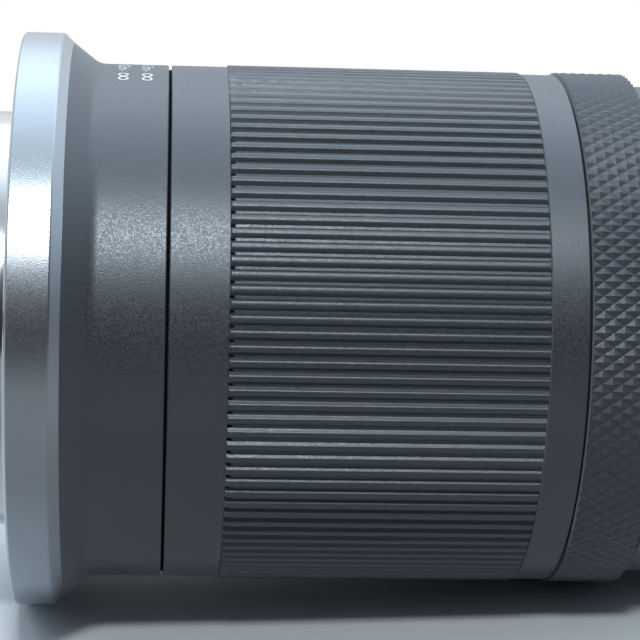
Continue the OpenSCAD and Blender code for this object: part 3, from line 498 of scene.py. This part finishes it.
def lay_on_cone(piece, radius, angle, station):
    """Lays a flat mesh on the cone round the front glass, to be read from the front."""
    slope = math.atan2(CONE_OUTER[1] - CONE_INNER[1], CONE_OUTER[0] - CONE_INNER[0])
    for point in piece.data.vertices:
        along, up_axis, out = point.co
        turn_to = math.radians(angle) - along / radius
        lift = PRINT_HEIGHT + out
        reach = (radius + up_axis * math.sin(slope) - lift * math.cos(slope)) * MM
        ahead = (station + up_axis * math.cos(slope) + lift * math.sin(slope)) * MM
        point.co = (ahead, reach * math.cos(turn_to), reach * math.sin(turn_to))


def printed(name, words, size, radius, angle, station, body, align="CENTER", lay=lay_round):
    """Thin letters, made a mesh and then laid on the part."""
    deselect()
    bpy.ops.object.text_add()
    letters = bpy.context.object.data
    letters.body = words
    letters.size = size
    letters.align_x = align
    letters.align_y = "CENTER"
    letters.extrude = PRINT_DEPTH
    letters.resolution_u = 3
    bpy.ops.object.convert(target="MESH")
    label = bpy.context.object
    edit("SELECT")
    bpy.ops.mesh.remove_doubles(threshold=LETTER_MERGE)
    leave_edit()
    lay(label, radius, angle, station)
    carry(label, name, body, MARK_WHITE, angle=20)


def index_line(name, width, length, radius, angle, station, body):
    """Thin bar, laid round the barrel."""
    deselect()
    bpy.ops.mesh.primitive_cube_add(size=1)
    bar = bpy.context.object
    bar.scale = (width, length, LINE_DEPTH)
    settle(bar)
    edit("SELECT")
    bpy.ops.mesh.subdivide(number_cuts=2)
    leave_edit()
    lay_round(bar, radius, angle, station)
    carry(bar, name, body, MARK_WHITE, angle=20)


def mount_index(name, size, radius, angle, station, body):
    """Low red button with a rounded rim, which lines the lens up with the camera."""
    deselect()
    bpy.ops.mesh.primitive_cylinder_add(vertices=40, radius=size, depth=BUTTON_DEPTH)
    button = bpy.context.object
    edit_top(button)
    for shrink, lift in BUTTON_RIM:
        bpy.ops.mesh.extrude_region_move(TRANSFORM_OT_translate={"value": (0, 0, lift)})
        bpy.ops.transform.resize(value=(shrink, shrink, 1), center_override=(0, 0, 0))
    leave_top()
    lay_round(button, radius, angle, station)
    carry(button, name, body, MARK_RED, angle=50)


# Places of the marks: angles in degrees round the axis, from the side away from the camera up to the top
BARREL = 30.95
TRIM_BUTTON = 34.44
INDEX_ANGLE = 60
ZOOM_TURN = 75
FOCAL_LENGTHS = [18, 24, 35, 50, 70, 100, 135]
FOCAL_SIZE, FOCAL_STATION = 2.3, 20.9
FOCAL_LINE_WIDTH, FOCAL_LINE_LENGTH, FOCAL_LINE_STATION = 0.22, 0.9, 18.7
INDEX_WIDTH, INDEX_LENGTH, INDEX_STATION = 0.35, 1.9, 16.1
RANGES = [(12.06, "0.2m-"), (14.84, "0.3m-")]
RANGE_END = "\u221e"
RANGE_SIZE, RANGE_ANGLE = 2.0, 92.2
RANGE_END_SIZE, RANGE_END_ANGLE = 3.25, 96.4
FILTER_WORDS = "\u00f855"
FILTER_SIZE, FILTER_RADIUS, FILTER_ANGLE, FILTER_STATION = 2.0, 25.6, 62, 79.6
BUTTON_SIZE, BUTTON_STATION = 1.0, 2.7

for focal in FOCAL_LENGTHS:
    share = math.log(focal / FOCAL_LENGTHS[0]) / math.log(FOCAL_LENGTHS[-1] / FOCAL_LENGTHS[0])
    place = INDEX_ANGLE - ZOOM_TURN * share
    printed("focal_%d" % focal, str(focal), FOCAL_SIZE, BARREL, place, FOCAL_STATION, "zoom")
    index_line(
        "focal_line_%d" % focal, FOCAL_LINE_WIDTH, FOCAL_LINE_LENGTH,
        BARREL, place, FOCAL_LINE_STATION, "zoom",
    )
index_line("zoom_index", INDEX_WIDTH, INDEX_LENGTH, BARREL, INDEX_ANGLE, INDEX_STATION, "barrel")
for row, (station, near) in enumerate(RANGES, start=1):
    printed("range_%d" % row, near, RANGE_SIZE, BARREL, RANGE_ANGLE, station, "barrel", align="RIGHT")
    printed("range_end_%d" % row, RANGE_END, RANGE_END_SIZE, BARREL, RANGE_END_ANGLE, station, "barrel")
printed(
    "filter_size", FILTER_WORDS, FILTER_SIZE, FILTER_RADIUS, FILTER_ANGLE, FILTER_STATION, "front",
    lay=lay_on_cone,
)
mount_index("mount_index", BUTTON_SIZE, TRIM_BUTTON, INDEX_ANGLE, BUTTON_STATION, "barrel")

# Camera as fitted to the photograph: station along the axis, distance from it, turn, tilt and roll
CAMERA_STATION = 16.44
CAMERA_DISTANCE = 271.7
CAMERA_TURN = math.radians(4.212)
CAMERA_TILT = math.radians(0.078)
CAMERA_ROLL = math.radians(1.004)
CAMERA_RISE = math.radians(17.5)
FOCAL_PIXELS, PHOTO_WIDTH = 2218.6, 640
SENSOR = 36


def place_camera():
    forward = Vector((math.sin(CAMERA_TURN), math.cos(CAMERA_TURN), 0))
    right = Vector((math.cos(CAMERA_TURN), -math.sin(CAMERA_TURN), 0))
    up = Vector((0, 0, 1))
    forward, up = (
        forward * math.cos(CAMERA_TILT) + up * math.sin(CAMERA_TILT),
        up * math.cos(CAMERA_TILT) - forward * math.sin(CAMERA_TILT),
    )
    right, up = (
        right * math.cos(CAMERA_ROLL) + up * math.sin(CAMERA_ROLL),
        up * math.cos(CAMERA_ROLL) - right * math.sin(CAMERA_ROLL),
    )
    stance = Matrix((right, up, -forward)).transposed().to_4x4()
    stance.translation = Vector((CAMERA_STATION, -CAMERA_DISTANCE, 0)) * MM
    optics = bpy.data.cameras.new("photo_camera")
    optics.sensor_width = SENSOR
    optics.lens = SENSOR * (FOCAL_PIXELS / PHOTO_WIDTH)
    optics.clip_start = 0.01
    camera = bpy.data.objects.new("photo_camera", optics)
    bpy.context.collection.objects.link(camera)
    camera.matrix_world = Matrix.Rotation(-CAMERA_RISE, 4, "X") @ stance
    bpy.context.scene.camera = camera


place_camera()

# Table under the lens: it touches the trim ring and the control ring
REAR_REST = Vector((4.9, 0, -34.5)) * MM
FRONT_REST = Vector((68.3, 0, -31.3)) * MM
TABLE_SIZE = 4000
TABLE_COLOUR, TABLE_HANDLED = (0.74, 0.80, 0.84), (0.79, 0.85, 0.89)
TABLE_ROUGHNESS = 0.6
TABLE_PATCHES, TABLE_CELLS, TABLE_GRAIN_DEPTH = 260, 900, 0.00001
# Darker copy of the table colour that reflections and bounced light see in front of the lens: painted shade
TABLE_PAINTED_SHADE = (0.29, 0.282, 0.276)
# Distances in metres between which the table changes: to white for the eye, to white for mirrors, to painted
# shade
SEEN_WHITE = (0.12, 0.30)
MIRRORED_WHITE = (0.08, 0.30)
FRONT_PAINTED_SHADE = (0.0, 0.06)


def ease(tree, value, low, high):
    """Smooth step from 0 at low to 1 at high."""
    node = tree.nodes.new("ShaderNodeMapRange")
    node.interpolation_type = "SMOOTHSTEP"
    node.inputs["From Min"].default_value = low
    node.inputs["From Max"].default_value = high
    tree.links.new(value, node.inputs["Value"])
    return node.outputs[0]


def fade_table(tree, surface):
    """The table runs out into a white backdrop. To all but the eye, its front takes a darker diffuse colour:
    painted shade.
    """
    place = tree.nodes.new("ShaderNodeTexCoord").outputs["Object"]
    part = tree.nodes.new("ShaderNodeSeparateXYZ")
    tree.links.new(place, part.inputs[0])
    distance = tree.nodes.new("ShaderNodeVectorMath")
    distance.operation = "LENGTH"
    tree.links.new(place, distance.inputs[0])
    ray = tree.nodes.new("ShaderNodeLightPath")

    # Painted shade: the darker table colour, seen in front by every ray but the eye's
    painted_shade_bsdf = tree.nodes.new("ShaderNodeBsdfDiffuse")
    painted_shade_bsdf.inputs["Color"].default_value = (*TABLE_PAINTED_SHADE, 1)
    to_front = maths(tree, "MULTIPLY", part.outputs["Y"], -1.0)
    unseen = maths(tree, "SUBTRACT", 1.0, ray.outputs["Is Camera Ray"])
    room = tree.nodes.new("ShaderNodeMixShader")
    tree.links.new(maths(tree, "MULTIPLY", unseen, ease(tree, to_front, *FRONT_PAINTED_SHADE)), room.inputs["Fac"])
    tree.links.new(surface.outputs[0], room.inputs[1])
    tree.links.new(painted_shade_bsdf.outputs[0], room.inputs[2])

    seen = ease(tree, distance.outputs["Value"], *SEEN_WHITE)
    seen = maths(tree, "MULTIPLY", ray.outputs["Is Camera Ray"], seen)
    mirrored = maths(tree, "MAXIMUM", ray.outputs["Is Glossy Ray"], ray.outputs["Is Transmission Ray"])
    mirrored = maths(tree, "MULTIPLY", mirrored, ease(tree, part.outputs["Y"], *MIRRORED_WHITE))
    white = tree.nodes.new("ShaderNodeEmission")
    mixed = tree.nodes.new("ShaderNodeMixShader")
    tree.links.new(maths(tree, "MAXIMUM", seen, mirrored), mixed.inputs["Fac"])
    tree.links.new(room.outputs[0], mixed.inputs[1])
    tree.links.new(white.outputs[0], mixed.inputs[2])
    tree.links.new(mixed.outputs[0], tree.nodes["Material Output"].inputs["Surface"])


def lay_table():
    lean = math.atan2(FRONT_REST.z - REAR_REST.z, FRONT_REST.x - REAR_REST.x)
    deselect()
    bpy.ops.mesh.primitive_plane_add(size=TABLE_SIZE * MM, location=REAR_REST, rotation=(0, -lean, 0))
    table = bpy.context.object
    table.name = "table"
    top = Finish("table_top", TABLE_COLOUR, TABLE_ROUGHNESS)
    top.handle(TABLE_HANDLED, patches=TABLE_PATCHES)
    grain = top.effect(PAINT_GRAIN, Cells_per_metre=TABLE_CELLS, Sharpness=2)
    top.bump(grain.outputs["Height"], TABLE_GRAIN_DEPTH)
    fade_table(top.tree, top.surface)
    table.data.materials.append(top.material)


lay_table()

# Studio light: a small key lamp above the camera, a soft box behind, a surround that brightens to the back
# Places and sizes of the lamps are in metres
LAMP_AIM = Vector((0.035, 0, 0))
KEY_HEIGHT = math.radians(53.5)
KEY_SIDE = -0.06
BACK_HEIGHT = math.radians(48)
# Light at shares of the half turn from the camera's side over the top to the back; it falls off to the ends
SURROUND = [
    (0.00, (0.036, 0.034, 0.036)), (0.12, (0.042, 0.042, 0.046)), (0.24, (0.155, 0.17, 0.19)),
    (0.46, (0.65, 0.73, 0.82)), (0.57, (1.37, 1.57, 1.79)), (0.68, (1.55, 1.76, 1.97)),
    (0.80, (1.10, 1.20, 1.30)), (1.00, (0.76, 0.77, 0.79)),
]
END_LOSS = 0.45
END_RANGE = (0.5, 1.0)


def lamp(name, direction, distance, width, height, watts, colour):
    """Area lamp at a distance from the aimed point, turned to face it."""
    light = bpy.data.lights.new(name, "AREA")
    light.color = colour
    light.shape = "RECTANGLE"
    light.size = width
    light.size_y = height
    light.energy = watts
    holder = bpy.data.objects.new(name, light)
    bpy.context.collection.objects.link(holder)
    aim = Vector(direction).normalized()
    holder.location = LAMP_AIM + aim * distance
    holder.rotation_euler = (-aim).to_track_quat("-Z", "Y").to_euler()


def make_surround(sky):
    """Light by the turn about the optical axis, dimmer towards both ends of the lens."""
    direction = sky.nodes.new("ShaderNodeSeparateXYZ")
    sky.links.new(sky.nodes.new("ShaderNodeTexCoord").outputs["Generated"], direction.inputs[0])
    to_front = maths(sky, "MULTIPLY", direction.outputs["Y"], -1.0)
    turn = maths(sky, "DIVIDE", maths(sky, "ARCTAN2", direction.outputs["Z"], to_front), math.pi)
    around = sky.nodes.new("ShaderNodeValToRGB")
    stops = around.color_ramp.elements
    stops.remove(stops[1])
    stops[0].position = SURROUND[0][0]
    stops[0].color = (*SURROUND[0][1], 1)
    for position, light_colour in SURROUND[1:]:
        stops.new(position).color = (*light_colour, 1)
    sky.links.new(turn, around.inputs["Fac"])
    to_end = ease(sky, maths(sky, "ABSOLUTE", direction.outputs["X"]), *END_RANGE)
    surround = sky.nodes.new("ShaderNodeBackground")
    strength = maths(sky, "SUBTRACT", 1.0, maths(sky, "MULTIPLY", to_end, END_LOSS))
    sky.links.new(strength, surround.inputs["Strength"])
    sky.links.new(around.outputs["Color"], surround.inputs["Color"])
    return surround


def light_studio():
    lamp(
        "key_lamp", (KEY_SIDE, -math.cos(KEY_HEIGHT), math.sin(KEY_HEIGHT)),
        distance=0.7, width=0.09, height=0.07, watts=1.95, colour=(0.95, 0.98, 1.0),
    )
    lamp(
        "back_box", (0.0, math.cos(BACK_HEIGHT), math.sin(BACK_HEIGHT)),
        distance=0.8, width=0.9, height=0.5, watts=0.85, colour=(0.88, 0.95, 1.0),
    )
    world = bpy.data.worlds.new("studio")
    bpy.context.scene.world = world
    world.use_nodes = True
    sky = world.node_tree
    sky.nodes.clear()
    surround = make_surround(sky)
    backdrop = sky.nodes.new("ShaderNodeBackground")
    backdrop.inputs["Color"].default_value = (1, 1, 1, 1)
    shown = sky.nodes.new("ShaderNodeMixShader")
    sky.links.new(sky.nodes.new("ShaderNodeLightPath").outputs["Is Camera Ray"], shown.inputs["Fac"])
    sky.links.new(surround.outputs[0], shown.inputs[1])
    sky.links.new(backdrop.outputs[0], shown.inputs[2])
    sky.links.new(shown.outputs[0], sky.nodes.new("ShaderNodeOutputWorld").inputs["Surface"])


light_studio()
bpy.context.scene.view_settings.view_transform = "Standard"
